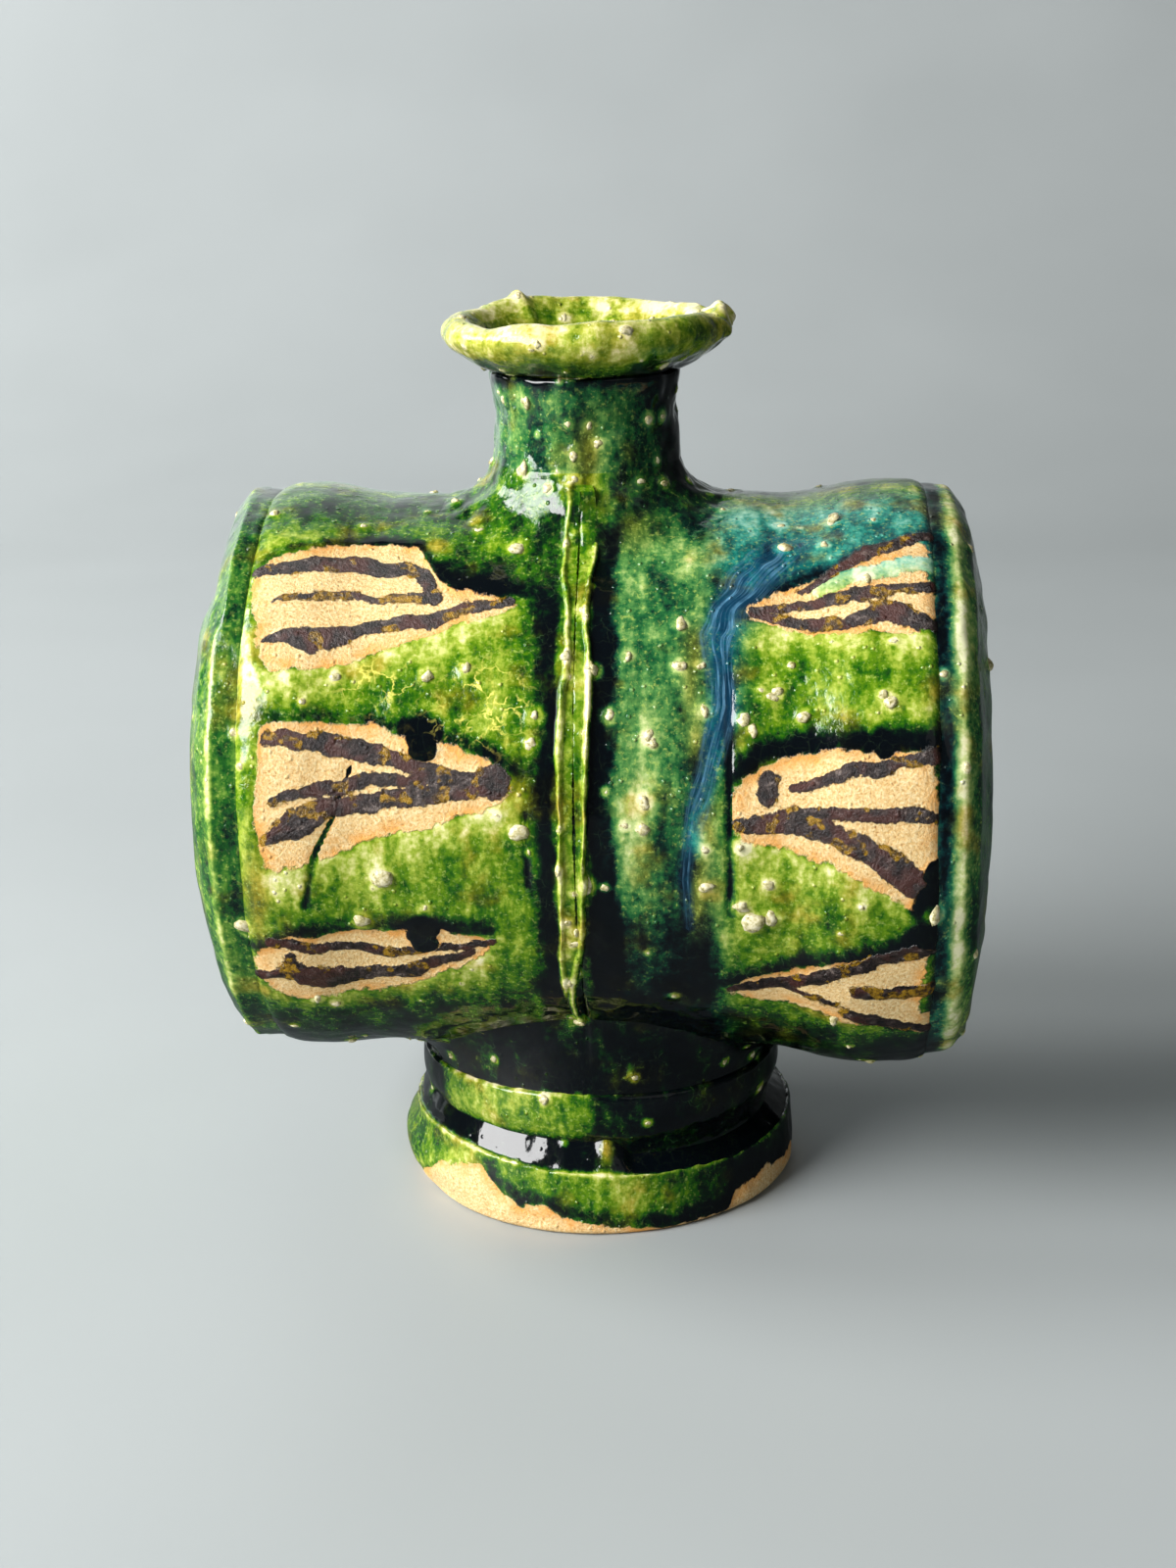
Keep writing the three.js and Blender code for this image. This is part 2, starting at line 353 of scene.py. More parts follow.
STROKES = (
    ((-67, 56, 1.3), (-56, 58.5, 2.3), (-44, 60, 2.4), (-33, 58, 2.1), (-29.5, 51, 1.6)),
    ((-63, 49, 0.5), (-52, 51.5, 1.2), (-41, 51, 1), (-31, 51.5, 1.7)),
    ((-63, 41, 0.7), (-55, 41.5, 2.8), (-50, 42.5, 2.7), (-44, 44, 1.6), (-31, 46, 1.8), (-14, 50.5, 1.2)),
    ((-60.5, 22, 1.9), (-50, 21.5, 2.3), (-41, 19.5, 2.3), (-27, 15, 2), (-21, 14, 2.6), (-16, 14.2, 4)),
    ((-60, 11, 1), (-50, 13, 1.8), (-42, 14.5, 1.4), (-31, 14, 0.9)),
    ((-62, 3, 1), (-56, 6.5, 2.6), (-50, 9, 2.6), (-37, 11, 2), (-21, 13, 2.2)),
    ((-64, -18.5, 1.5), (-50, -20, 1.5), (-39, -22, 1.6), (-18, -19, 1)),
    ((-67, -28, 1.2), (-59, -25, 2.2), (-51, -28.5, 2.8), (-38, -27.5, 1.9), (-23, -22, 1.1)),
    ((-60, -22, 1.4), (-58, -28, 1.6), (-52, -30, 1.6)),
    ((46, 52, 0.8), (60, 60, 1.6), (72, 64.5, 1.5)),
    ((36, 47.5, 0.9), (52, 49.5, 1.5), (72, 51.5, 1.3)),
    ((36, 46.5, 1.1), (54, 44, 1.6), (62, 46.5, 2.6), (72, 42.5, 1.4)),
    ((38.7, 14.5, 2.1), (38.7, 11, 2.1)),
    ((44, 12.7, 1), (61, 17, 1.5), (72, 19, 1.4)),
    ((33, 6, 1.1), (48, 8.3, 1.6), (72, 7.7, 1.3)),
    ((33, 6, 1.4), (50, 5, 2.2), (61, 0.5, 2.5), (73, -7, 3.6)),
    ((31, -32, 1.1), (42, -28.7, 1.9), (66, -19.5, 1.7), (73, -18.5, 1.6)),
    ((42, -30, 1), (52, -33.5, 1)),
    ((57, -29, 1.6), (60, -29, 2.3), (64, -29, 1.7), (73, -28.5, 1.3)),
    ((55, -35.5, 1.5), (60, -37.5, 2.3), (73, -41.5, 1.2)),
)

# Dark runs of glaze that cross a window's edge, as (x, angle, radius)

DRIPS = (
    (-31, 23.5, 3.4), (-30.5, 20, 2.8), (-32.4, -16.5, 3.4), (-32, -19.6, 2.9), (62, 20.5, 2.2),
    (74, -3, 4), (73, -9, 5), (72, -15, 4.4),
)

# Thin pale glaze that veils part of a window, as the two ends of a band and its half-width

VEILS = (((50, 52.5), (72, 57.5), 2.2), ((-68, 44), (-64, 34), 2.2), ((73, -22), (73, -34), 2.4))

# Middle of the milky run of glaze, and lines scored in the clay, as (x, angle)

MILKY_RUN = ((42, 63), (34, 53), (29, 42), (30, 28), (25, 10), (22, -5), (23, -15))
SCORED = (
    ((-10, 8), (-9.7, -6)), ((31, 34), (31.2, -12)),
    ((-45, 17), (-49, 7), (-52.5, 1), (-55.5, -10)),
)

# Large feldspar grains that stand out on the front, as (x, angle, radius)

BIG_GRAINS = (
    (-29.5, 34, 1.5), (-8, 26.5, 1.3), (-8.8, 21.5, 1), (-11, 4.5, 1.7), (7, 26.5, 1.2),
    (15, 22.5, 1.2), (14, 10, 1.3), (13.5, 5, 0.9), (26.5, 27, 1.2), (33.5, -10.5, 1.4),
    (36, -14, 1.8), (39.5, -13, 1.5), (33.5, 2, 1.2), (63, 28, 1.4), (52.5, 71.5, 1.5),
    (42.5, 64, 1.3), (72, -11, 1.6), (2.5, -6, 1.4), (-39.5, -4.5, 1.6), (-44, -13.5, 1.6),
    (-69, -15, 1.5), (5.5, -53, 1.5), (21.5, 44.5, 1.2), (-13, -64, 1.3), (-13, 64, 1.5),
    (-22.5, 73, 1.1), (-46, 72, 0.9), (-66, 74, 0.9), (10.5, 38, 1.2), (21, 36, 1.2),
    (25.5, 36, 0.9), (41, 31, 1.1), (44, 36, 0.8), (46, 26, 1.1), (10, 6, 0.9), (26, 1.5, 1),
    (26.5, -6.5, 1.4), (34, 25.5, 1), (53, -38.5, 1.2), (50, 64, 1.1), (58.5, 53.5, 1.1),
    (41.5, 72.5, 1.1),
)

# Grains that stand out on the front of the neck, as (azimuth, height, radius)

NECK_GRAINS = (
    (-34, 179, 1.3), (-55, 179, 0.8), (46, 175, 1), (6, 174, 0.9), (-4, 168, 1.2), (-38, 165, 1.6),
    (53, 161, 0.9), (-4, 163, 1.1), (-19, 161, 1), (10, 171, 0.9), (-60, 180, 0.7), (51, 166, 0.7),
    (-7, 175, 0.7),
)


def window_depth(x, angle, frayed):
    """How far inside a bare window a point lies, in mm. Negative outside. Its two ends are frayed."""
    best = np.full(len(x), OUTSIDE)
    for window in WINDOWS:
        along, upper, lower = np.array(window, float).T
        depth = np.minimum(np.interp(x, along, upper) - angle, angle - np.interp(x, along, lower)) * ARC
        ends = np.minimum(x - along[0], along[-1] - x) + frayed
        corner = np.maximum(CORNER_ROUND - np.abs(depth - ends), 0) ** 2 / (4 * CORNER_ROUND)
        best = np.maximum(best, np.minimum(depth, ends) - corner)
    return best


def stroke_depth(x, angle):
    """How far inside an iron stroke a point lies, in mm. Negative outside."""
    best = np.full(len(x), OUTSIDE)
    for stroke in STROKES:
        gap, share = near_path(x, angle, stroke)
        half = np.interp(share, np.arange(len(stroke)), [point[2] for point in stroke])
        best = np.maximum(best, half - gap)
    return best


def window_bands(x, angle):
    """Dark bead of glaze above each window, and thin glaze below it, both from 0 to 1."""
    bead = np.zeros(len(x))
    thin = np.zeros(len(x))
    for window, ends in zip(WINDOWS, BEADS):
        along, upper, lower = np.array(window, float).T
        rise = (angle - np.interp(x, along, upper)) * ARC
        fall = (np.interp(x, along, lower) - angle) * ARC
        within = between(x, along[0] - 3, along[0] + 2, along[-1] - 2, along[-1] + 5)
        strong = np.interp(x, (along[0], along[-1]), ends)
        here = strong * ease(rise, -1.5, 0.6) * (1 - ease(rise, 1.5 * strong, 2 + 5 * strong))
        bead = np.maximum(bead, within * here)
        thin = np.maximum(thin, within * ease(fall, -1, 0.5) * (1 - ease(fall, 1, 9)))
    return bead, thin


def drip_depth(x, angle):
    """How far inside a dark run of glaze a point lies, in mm. Negative outside."""
    gaps = [reach - np.hypot(x - at, (angle - turn) * ARC) for at, turn, reach in DRIPS]
    return np.max(gaps, axis=0)


def veil_depth(x, angle):
    """How far inside a thin veil of glaze a point lies, in mm. Negative outside."""
    gaps = [reach - near_path(x, angle, (start, end))[0] for start, end, reach in VEILS]
    return np.max(gaps, axis=0)


def milky_run(x, angle, points):
    """Distance across the milky run of glaze, how strong it is, and the dark glaze round it."""
    run, share = near_path(x, angle, MILKY_RUN)
    path = np.array(MILKY_RUN, float)
    side = np.sign(x - np.interp(-angle, -path[:, 1], path[:, 0]))
    across = run * side + 1.1 * noise(points * (1, 1, 0.3), 4, 24)
    half = np.interp(share, (0, 1, 2, 3, 5, 6), (5, 4.2, 3.2, 2.6, 1.5, 1))
    strong = np.exp(-(across / half) ** 4) * np.interp(share, (0, 0.6, 3, 6), (0.4, 1, 0.9, 0.2))
    return across, strong, np.exp(-(run / (1.25 * half)) ** 2)


def neck_share(points):
    """1 on the neck, falling to 0 at the lower edge of its coil."""
    reach = reach_of(points)
    return (1 - ease(reach, NECK_BASE, COIL_EDGE)) * ease(points[:, 2], AXIS_Z + 30, AXIS_Z + 40)


def neck_glaze_and_shade(points):
    """Depth of the glaze on the neck, darker on its right: partly deeper glaze, partly painted shade."""
    shade = between(azimuth_of(points), 12, 60, 150, 180)
    return 0.57 + 0.16 * noise(points * (1, 1, 0.6), 4, 10) + 0.34 * shade


def neck_amber(points):
    """Olive glaze low on the front of the neck."""
    front = between(azimuth_of(points), -12, 6, 24, 45)
    low = 1 - ease(points[:, 2], NECK_LOW[2] + 4, NECK_LOW[2] + 15)
    return 0.7 * front * low * ease(noise(points, 5, 30), -0.7, 0.3)


def bare_fields(points, x, angle, fade):
    """Depths inside the windows, strokes, drips and veils in mm, with uneven edges."""
    rough_x = x + 1.1 * noise(points, 6, 31) + 0.5 * noise(points, 2.2, 32)
    rough_angle = angle + (1.0 * noise(points, 6, 33) + 0.5 * noise(points, 2.2, 34)) / ARC
    drip = drip_depth(rough_x, rough_angle)
    veil = veil_depth(rough_x, rough_angle)
    frayed = 1.6 * noise(points, 5, 37) + 1.2 * noise(points, 9, 38)
    clay = np.where(fade > 0.5, window_depth(rough_x, rough_angle, frayed), OUTSIDE)
    iron = np.where(clay > -4, stroke_depth(rough_x, rough_angle), OUTSIDE)
    clay = np.minimum(clay, -np.maximum(2.5 * drip, veil))
    iron = np.minimum(iron, -2.5 * drip)
    return clay, iron, drip, veil


def seam_bands(points, x):
    """Dark bands of glaze left and right of the seam rib, from 0 to 1."""
    wavy_x = x + 0.9 * noise(points, 7, 25) + 0.4 * noise(points, 2.5, 26)
    left = between(wavy_x, -10.5 + 2 * noise(points, 12, 27), -5.5, -4.8, -3)
    return left, between(wavy_x, 2.5, 4, 6.5, 10)


def rib_glaze_and_shade(points, x, angle, left_band, right_band):
    """Extra glaze beside the seam rib: the two dark bands, fluted runs and a dark corner by the neck. Also
    painted shade on the middle of the drum below its axis.
    """
    upper = ease(angle, -60, -30)
    depth = 0.5 * left_band * upper * (1 - 0.5 * ease(angle, 42, 58)) + 0.6 * right_band * upper
    flutes = noise(points * (1, 0.2, 0.2), 4.5, 28) + 0.6 * noise(points, 7, 29)
    # Its last term darkens the middle below the axis: painted shade.
    depth += between(x, -9, -4, 25, 33) * (0.04 + 0.18 * flutes + 0.27 * ease(-angle, 5, 30))
    corner = np.exp(-((x + 21) / 10) ** 2 - ((angle - 58) * ARC / 8) ** 2)
    return depth + 0.5 * corner * (0.8 + 0.4 * noise(points, 5, 35))


def round_glaze_and_shade(x, angle):
    """Extra glaze on the top and the right end, and painted shade that darkens the belly, front and back.
    """
    top = 0.3 * ease(angle, 62, 76) * (1 - 0.9 * ease(x, 24, 34) - 0.45 * ease(-x, 26, 46))
    ends = 0.25 * ease(x, 60, 75) * ease(-angle, -25, 15) - 0.06 * ease(-x, 58, 66)
    # The 0.38 belly term is painted shade; the top and end terms are extra glaze.
    return 0.38 * ease(-angle, 18, 52) + top + ends


def drum_fields(points):
    """Everything that the drum's material reads, from the place of each vertex."""
    x, angle = face_place(points)
    fade = 1 - ease(np.abs(angle), 74, 87)
    clay, iron, drip, veil = bare_fields(points, x, angle, fade)
    score = score_mark(x, angle)
    clay = clay + (-4 - clay) * ease(score, 0.3, 0.75)
    bead, thin = window_bands(x, angle)
    across, milk, stream = milky_run(x, angle, points)
    left_band, right_band = seam_bands(points, x)
    front = 0.55 * bead - 0.22 * thin + 0.6 * ease(drip, -2, 0.5) - 0.3 * ease(veil, -1, 0.5) * (x > 0)
    front += rib_glaze_and_shade(points, x, angle, left_band, right_band) + 0.28 * stream + 0.5 * score
    glaze = 0.45 + 0.08 * noise(points, 16, 5) + fade * front + round_glaze_and_shade(x, angle)
    share = neck_share(points)
    glaze = glaze * (1 - share) + neck_glaze_and_shade(points) * share
    teal = 0.24 * between(x, 3, 8, 26, 34) + 0.95 * ease(x, 24, 34) * ease(angle, 48, 60)
    teal = fade * np.maximum(teal, stream) * (1 - 0.5 * share)
    gold = 1.3 * bump(x, -18, 8) * bump(angle, 29, 6.5)
    gold = np.maximum(gold, bump(x, -40, 8) * bump(angle, 33, 4.5))
    gold = fade * np.minimum(gold, 1) * (1 - left_band)
    olive = 0.6 * bump(x, 24.5, 2.6) * between(angle, -25, -12, 44, 54)
    olive += 0.8 * bump(x, -65, 2.6) * bump(angle, -8, 9)
    amber = fade * olive * ease(noise(points * (1, 0.4, 0.4), 4, 36), -0.6, 0.2)
    amber = np.maximum(amber, share * neck_amber(points))
    tints = dict(teal=teal, milk=fade * milk, strand=across * MM, gold=gold, amber=amber)
    return dict(clay=clay, iron=iron, glaze=glaze, **tints)


def score_mark(x, angle):
    """Thin lines scored into the clay."""
    marks = [np.exp(-(near_path(x, angle, line)[0] / 0.7) ** 2) for line in SCORED]
    return np.max(marks, axis=0)


def end_pool(points):
    """Glaze gathered in the groove between a tube and its end disc."""
    x = points[:, 0] - SEAM_X
    left = x < 0
    middle = np.where(left, -LEFT_HALF - 0.6, RIGHT_HALF + 0.3)
    return np.where(left, 0.35, 1) * bump(x, middle, np.where(left, 1.3, 1.9))


# Materials

def linear(red, green, blue):
    """A colour as seen on a screen, 0 to 255, as the linear colour that a shader takes."""
    def channel(value):
        value /= 255
        return value / 12.92 if value <= 0.04045 else ((value + 0.055) / 1.055) ** 2.4
    return (channel(red), channel(green), channel(blue), 1.0)


def add(beside, kind, inputs=None, **settings):
    """A new shader node in the same tree as a socket. Its inputs are linked to sockets or set to values."""
    tree = beside.id_data
    made = tree.nodes.new("ShaderNode" + kind)
    for key, value in settings.items():
        setattr(made, key, value)
    for key, value in (inputs or {}).items():
        if isinstance(value, bpy.types.NodeSocket):
            tree.links.new(value, made.inputs[key])
        else:
            made.inputs[key].default_value = value
    return made


def maths(operation, first, second):
    return add(first, "Math", {0: first, 1: second}, operation=operation).outputs[0]


def times(first, second):
    return maths("MULTIPLY", first, second)


def vector_maths(operation, first, second):
    return add(first, "VectorMath", {0: first, 1: second}, operation=operation).outputs[0]


def spread(value, low, high, to_low=0.0, to_high=1.0):
    """value mapped smoothly from low..high to to_low..to_high."""
    inputs = {"Value": value, "From Min": low, "From Max": high, "To Min": to_low, "To Max": to_high}
    return add(value, "MapRange", inputs, interpolation_type="SMOOTHSTEP").outputs[0]


def blend(share, first, second):
    """Mixes two colours."""
    return add(share, "Mix", {0: share, 6: first, 7: second}, data_type="RGBA").outputs[2]


def blend_value(share, first, second):
    """Mixes two numbers."""
    return add(share, "Mix", {0: share, 2: first, 3: second}, data_type="FLOAT").outputs[0]


def ramp(value, stops):
    """Colours along a value. Each stop is its place, then red, green and blue from 0 to 255."""
    made = add(value, "ValToRGB", {0: value})
    points = made.color_ramp.elements
    while len(points) < len(stops):
        points.new(0.5)
    for point, (place, *colour) in zip(points, stops):
        point.position = place
        point.color = linear(*colour)
    return made.outputs[0]


def field(place, name):
    return add(place, "Attribute", attribute_name=name).outputs["Fac"]


def grainy(place, size, detail=3.0, rough=0.55):
    """Noise from 0 to 1 with features of about size mm."""
    inputs = {"Vector": place, "Scale": 1 / (size * MM), "Detail": detail, "Roughness": rough}
    return add(place, "TexNoise", inputs).outputs[0]


def uneven(place, size, detail, rough=0.55):
    """The same noise from -0.5 to 0.5."""
    return maths("SUBTRACT", grainy(place, size, detail, rough), 0.5)


def patches(place, size, detail, low, high, to_low=0.0, to_high=1.0):
    """Soft-edged patches of about size mm, to_low outside them and to_high inside."""
    return spread(grainy(place, size, detail), low, high, to_low, to_high)


def stretched(place, share):
    """Coordinates that draw a pattern out downwards, as glaze runs."""
    return vector_maths("MULTIPLY", place, (1.0, share, share))


def cracks(place, size):
    """Distance to the nearest crack line of a crackled glaze, in cells."""
    inputs = {"Vector": place, "Scale": 1 / (size * MM)}
    return add(place, "TexVoronoi", inputs, feature="DISTANCE_TO_EDGE").outputs["Distance"]


def pimples(place, size):
    """Sparse small pimples in the glaze, from 0 to 1."""
    cells = add(place, "TexVoronoi", {"Vector": place, "Scale": 1 / (size * MM)})
    rounded = spread(cells.outputs["Distance"], 0.05, 0.22, 1.0, 0.0)
    return times(rounded, spread(cells.outputs["Color"], 0.5, 0.56))


def blank_material(name):
    """A material with an otherwise empty node tree, and the place that its patterns follow."""
    material = bpy.data.materials.new(name)
    material.use_nodes = True
    tree = material.node_tree
    tree.nodes.clear()
    return material, tree.nodes.new("ShaderNodeTexCoord").outputs["Object"]


def finish_material(colour, rough, height, strength, distance):
    """Joins colour, roughness and a relief of distance mm to the material's output."""
    relief = add(height, "Bump", {"Height": height, "Strength": strength, "Distance": distance * MM})
    inputs = {"Base Color": colour, "Roughness": rough, "Normal": relief.outputs[0]}
    shader = add(height, "BsdfPrincipled", inputs)
    add(height, "OutputMaterial", {0: shader.outputs[0]})


# Colours of the glaze by its depth, as (depth, red, green, blue): copper green, blue-green and amber

COPPER_GREEN = (
    (0.00, 236, 230, 182),
    (0.12, 206, 208, 124),
    (0.26, 152, 170, 56),
    (0.42, 88, 126, 14),
    (0.58, 34, 88, 10),
    (0.74, 10, 44, 14),
    (0.88, 5, 15, 14),
    (1.00, 4, 8, 12),
)
SEA_GREEN = (
    (0.00, 206, 226, 196),
    (0.22, 136, 196, 176),
    (0.42, 48, 146, 128),
    (0.58, 12, 98, 92),
    (0.76, 8, 52, 60),
    (0.92, 4, 16, 24),
    (1.00, 3, 8, 13),
)
AMBER = (
    (0.00, 238, 214, 150),
    (0.25, 176, 150, 52),
    (0.50, 108, 98, 14),
    (0.75, 44, 44, 10),
    (1.00, 8, 10, 8),
)


def glaze_colour(place, depth):
    """Copper glaze: pale where thin, green, then near black where it pools."""
    green, sea, amber = [ramp(depth, stops) for stops in (COPPER_GREEN, SEA_GREEN, AMBER)]
    colour = blend(field(place, "teal"), green, sea)
    burnt = patches(place, 11, 3, 0.52, 0.72, 0.0, 0.75)
    burnt = maths("MAXIMUM", burnt, field(place, "amber"))
    colour = blend(burnt, colour, amber)
    curds = spread(grainy(place, 0.9, 4, 0.65), 0.54, 0.68, 0.0, 0.45)
    curds = times(curds, spread(depth, 0.85, 0.5))
    colour = blend(curds, colour, linear(182, 200, 96))
    milk = field(place, "milk")
    colour = blend(times(milk, 0.42), colour, linear(20, 78, 112))
    colour = blend(times(milk, strands(place)), colour, linear(96, 150, 182))
    return crackled(place, depth, colour)


def strands(place):
    """Fine pale threads that follow the milky run."""
    down = times(add(place, "SeparateXYZ", {0: place}).outputs[2], 0.05)
    along_run = add(down, "CombineXYZ", {0: field(place, "strand"), 1: down}).outputs[0]
    threads = spread(grainy(along_run, 0.8, 4, 0.65), 0.45, 0.66, 0.0, 0.85)
    return times(threads, patches(place, 3, 3, 0.35, 0.6, 0.3, 1.0))


def crackled(place, depth, colour):
    """Adds fine dull crack lines all over, and broken gold ones where the gold field is."""
    bent = swirled(place)
    fine = spread(cracks(bent, 3.2), 0.0, 0.02, 1.0, 0.0)
    fine = times(fine, patches(place, 9, 2, 0.4, 0.65, 0.05, 0.4))
    fine = times(fine, spread(depth, 0.7, 1.0, 1.0, 0.25))
    colour = blend(fine, colour, ramp(depth, ((0.35, 52, 62, 20), (0.65, 88, 116, 78))))
    bright = spread(cracks(swirled(bent), 4.2), 0.0, 0.075, 1.0, 0.0)
    patchy = times(field(place, "gold"), patches(place, 4, 2, 0.4, 0.55))
    patchy = times(patchy, patches(place, 0.7, 3, 0.38, 0.52, 0.25, 1.0))
    return blend(times(bright, patchy), colour, linear(248, 234, 112))


def swirled(place):
    """Coordinates with small offsets, so that crack lines don't look like straight-sided cells."""
    inputs = {"Vector": place, "Scale": 1 / (2.0 * MM), "Detail": 2.0}
    swirl = add(place, "TexNoise", inputs).outputs["Color"]
    centred = vector_maths("SUBTRACT", swirl, (0.5, 0.5, 0.5))
    offset = add(centred, "VectorMath", {0: centred, "Scale": 2.2 * MM}, operation="SCALE").outputs[0]
    return vector_maths("ADD", place, offset)


def clay_colour(place, inside):
    """Sandy buff clay, more orange next to the glaze."""
    stops = ((0.32, 164, 106, 54), (0.44, 226, 184, 116), (0.64, 250, 230, 180))
    sand = ramp(grainy(place, 0.6, 5, 0.8), stops)
    flush = spread(inside, 0.2, 4.5, 0.85, 0.0)
    flush = times(flush, patches(place, 5, 3, 0.38, 0.62, 0.15, 1.0))
    return blend(flush, sand, linear(232, 158, 66))


def iron_colour(place, inside):
    """Iron pigment: charcoal to purple brown, darker along its edges. Its palest grey is partly a painted
    sheen.
    """
    # The palest stop is partly a painted sheen on the rough crust.
    stops = ((0.38, 11, 8, 8), (0.48, 34, 23, 21), (0.58, 62, 50, 47), (0.68, 134, 120, 112))
    brown = ramp(grainy(place, 2.2, 5, 0.75), stops)
    rusty = patches(place, 7, 3, 0.46, 0.6, 0.0, 0.75)
    brown = blend(rusty, brown, linear(78, 38, 30))
    edge = spread(inside, 0.0, 0.7, 0.7, 0.0)
    return blend(edge, brown, linear(34, 22, 12))


def glaze_depth(place, pimple):
    """The painted depth of the glaze, made uneven, and thinner on grains and pimples."""
    depth = field(place, "glaze")
    mottle = uneven(stretched(place, 0.5), 5, 4)
    flecks = uneven(place, 1.5, 4, 0.62)
    runs = uneven(stretched(place, 0.2), 2.2, 3)
    for unevenness, amount in ((mottle, 0.9), (flecks, 0.7), (runs, 0.4)):
        depth = maths("ADD", depth, times(unevenness, amount))
    grain = field(place, "grain")
    halo = spread(grain, 0.0, 1.3, 0.2, 0.0)
    lifted = spread(grain, 0.2, 2.2, 0.42, 0.0)
    lifted = times(lifted, spread(depth, 0.65, 0.9))
    depth = maths("SUBTRACT", depth, maths("ADD", halo, lifted))
    return maths("SUBTRACT", depth, times(pimple, 0.16))


def relief_height(place, depth, bare, iron, pimple):
    """Ripples of the glaze, sand of the bare clay, crust of the iron, and raised pimples."""
    peel = times(grainy(place, 2.8, 3, 0.4), spread(depth, 0.3, 0.8, 0.7, 0.3))
    sandy = times(grainy(place, 0.6, 4, 0.7), times(bare, 1.4))
    crust = times(grainy(place, 1.0, 4, 0.7), times(iron, 2.0))
    raised = times(pimple, spread(depth, 0.6, 0.9, 1.0, 0.2))
    return maths("ADD", maths("ADD", peel, sandy), maths("ADD", crust, raised))


def stoneware(name):
    """Glazed stoneware that reads the painted fields of its piece."""
    material, place = blank_material(name)
    pimple = pimples(place, 2.6)
    depth = glaze_depth(place, pimple)
    ragged = uneven(place, 1.6, 4, 0.65)
    bare_depth = maths("ADD", field(place, "clay"), times(ragged, 3.0))
    bare = spread(bare_depth, -0.2, 0.4)
    iron_depth = maths("ADD", field(place, "iron"), times(ragged, 2.2))
    iron = spread(iron_depth, -0.12, 0.16)
    drops = spread(iron_depth, -0.6, -0.1)
    drops = times(drops, patches(place, 5, 2, 0.57, 0.61))
    honey = ramp(grainy(place, 1.2, 2), ((0.4, 70, 48, 6), (0.6, 158, 120, 22)))
    colour = blend(bare, glaze_colour(place, depth), clay_colour(place, bare_depth))
    colour = blend(iron, colour, iron_colour(place, iron_depth))
    colour = blend(drops, colour, honey)
    rough = spread(depth, 0.2, 0.6, 0.2, 0.08)
    for share, roughness in ((bare, 0.85), (iron, 0.34), (drops, 0.12)):
        rough = blend_value(share, rough, roughness)
    height = relief_height(place, depth, bare, iron, pimple)
    finish_material(colour, rough, height, 0.7, 0.5)
    return material


def feldspar():
    """Off-white grains that stand out of the glaze."""
    material, place = blank_material("feldspar_grain")
    stops = ((0.32, 120, 116, 58), (0.48, 196, 186, 138), (0.66, 230, 222, 190))
    colour = ramp(grainy(place, 0.9, 4, 0.6), stops)
    finish_material(colour, 0.22, grainy(place, 0.5, 3), 0.4, 0.3)
    return material


GLAZED = "copper_green_glaze"
SKINS = {slot: stoneware(slot) for slot in (GLAZED, "pale_rim_glaze", "bare_clay")}
GRAIN = feldspar()
SHARP_ANGLE = math.radians(55)

# What the painted fields hold where a piece has no windows and no tints

PLAIN = dict(clay=OUTSIDE, iron=OUTSIDE, teal=0.0, milk=0.0, strand=0.0, gold=0.0, amber=0.0)


def finished(piece, node, lift, slot=GLAZED, **fields):
    """Pushes a piece's skin out by lift, and gives it its fields, material, slot and place in the frame."""
    push(piece, lift)
    paint(piece, **{**PLAIN, **fields})
    piece.data.materials.append(SKINS[slot])
    piece.data.shade_smooth()
    piece.data.set_sharp_from_angle(angle=SHARP_ANGLE)
    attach(piece, "root")
    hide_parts(node)
    return piece


# Pieces

def drum_half(node):
    """One thrown tube of the drum, with its windows sunk and its beads of glaze raised."""
    outline = resampled(section(node, "X"), FINE, True)
    seam = np.abs(outline[:, 1] - SEAM_X) < 0.5
    outline[seam, 1] = SEAM_X + np.sign(outline[seam, 1] - SEAM_X) * 0.01
    hidden = outline[:, 0] < BORE + 1
    keep = ~hidden | (np.arange(len(outline)) % 9 == 0)
    half = new_object(node + "_skin", *turned(outline[keep], 560, "X"))
    bored(half)
    move(half, settle(points_of(half)))
    points = points_of(half)
    outside = drum_reach(points) > BORE + 3
    fields = drum_fields(points)
    fields["glaze"] = fields["glaze"] + 0.4 * end_pool(points)
    place = face_place(points)
    bead, _ = window_bands(*place)
    lift = lumps(points) - 0.3 * ease(fields["clay"], -0.4, 0.6) + 0.22 * ease(fields["iron"], -0.3, 0.8)
    lift += 0.3 * bead - 0.4 * score_mark(*place)
    return finished(half, node, lift * outside, **fields)


def bored(piece):
    """Cuts the passage of the neck through a drum half."""
    low, high = AXIS_Z + 5, AXIS_Z + 80
    tall = np.array([(0, low), (NECK_BORE, low), (NECK_BORE, high), (0, high)])
    points, faces = turned(tall, 96, "Z", closed=False)
    points[-2:] = ((SEAM_X, 0, low), (SEAM_X, 0, high))
    cutter = new_object("passage", points, faces)
    cut = piece.modifiers.new("passage", "BOOLEAN")
    cut.object = cutter
    cut.operation = "DIFFERENCE"
    ready = piece.evaluated_get(bpy.context.evaluated_depsgraph_get())
    holed = bpy.data.meshes.new_from_object(ready)
    piece.modifiers.clear()
    piece.data = holed
    bpy.data.objects.remove(cutter)


